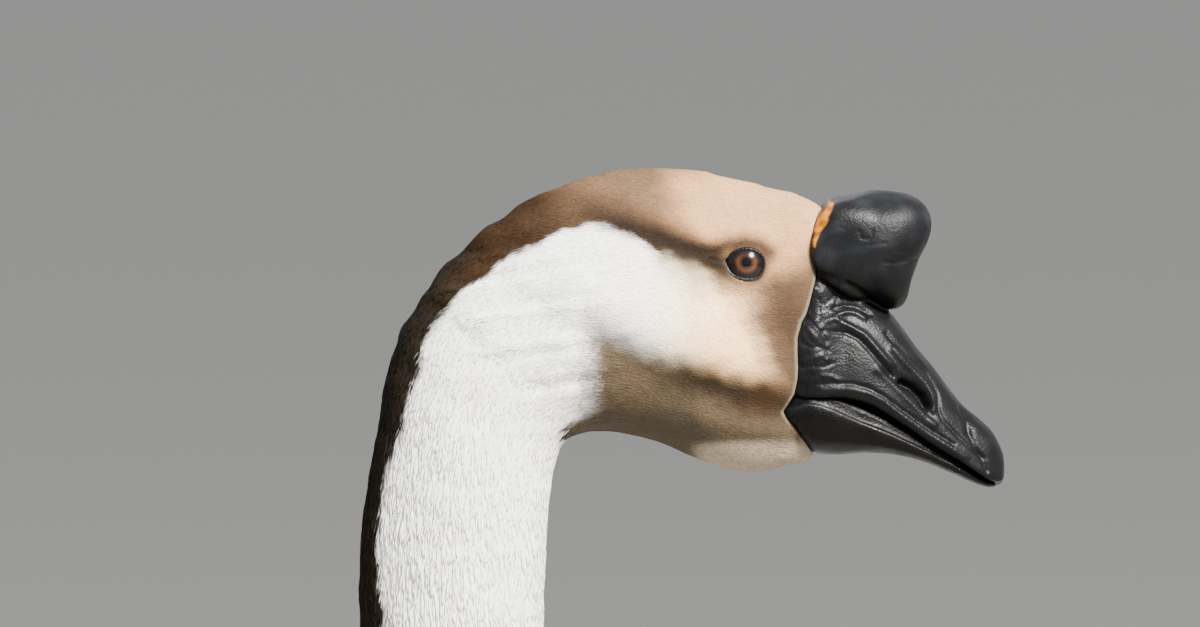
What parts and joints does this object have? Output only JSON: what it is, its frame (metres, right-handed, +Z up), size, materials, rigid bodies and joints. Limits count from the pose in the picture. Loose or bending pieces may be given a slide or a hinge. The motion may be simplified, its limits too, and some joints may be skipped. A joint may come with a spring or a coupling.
{
  "type": "standing domestic goose",
  "caption": "Life-size brown Chinese goose gander standing still on its own webbed feet, with an upright neck, a black bill and a black forehead knob.",
  "frame": {"origin": "on the floor, under the middle of the outline", "axes": "+X the way the goose faces, +Y its left side, +Z up"},
  "size_m": [0.695, 0.2226, 0.7603],
  "materials": {
    "head_feathers": "short soft feathers: pale beige forehead, brown crown and eye stripe, cream cheek, tan face",
    "neck_feathers": "short silky feathers, white in front with a dark brown stripe down the back",
    "body_feathers": "overlapping contour feathers: buff breast, grey-brown back and flanks with pale edges, white belly",
    "wing_feathers": "grey-brown folded wing feathers with pale edges",
    "quills": "dark grey-brown flight feathers, matt",
    "tail_feathers": "grey-brown tail feathers with white tips",
    "thigh_feathers": "soft white feathers",
    "knob": "satin black bare skin with fine pores",
    "bill": "satin black horn with fine folds at the base",
    "nail": "smooth black horn, glossier than the bill",
    "eye": "wet and glossy, brown iris with a black pupil",
    "leg_skin": "orange scaly skin, satin",
    "claw": "dark horn, satin"
  },
  "bodies": {
    "root": {"head": "head_feathers", "knob": "knob", "bill_upper": "bill", "bill_nail": "nail", "bill_lower": "bill", "eye_left": "eye", "eye_right": "eye", "neck_upper": "neck_feathers", "neck_lower": "neck_feathers", "trunk": "body_feathers", "tail": "tail_feathers", "wing_left": "wing_feathers", "wing_quills_left": "quills", "thigh_left": "thigh_feathers", "shank_left": "leg_skin", "foot_left": "leg_skin", "hind_toe_left": "leg_skin", "claw_hind_left": "claw", "claw_inner_left": "claw", "claw_middle_left": "claw", "claw_outer_left": "claw", "wing_right": "wing_feathers", "wing_quills_right": "quills", "thigh_right": "thigh_feathers", "shank_right": "leg_skin", "foot_right": "leg_skin", "hind_toe_right": "leg_skin", "claw_hind_right": "claw", "claw_inner_right": "claw", "claw_middle_right": "claw", "claw_outer_right": "claw"}
  },
  "joints": []
}
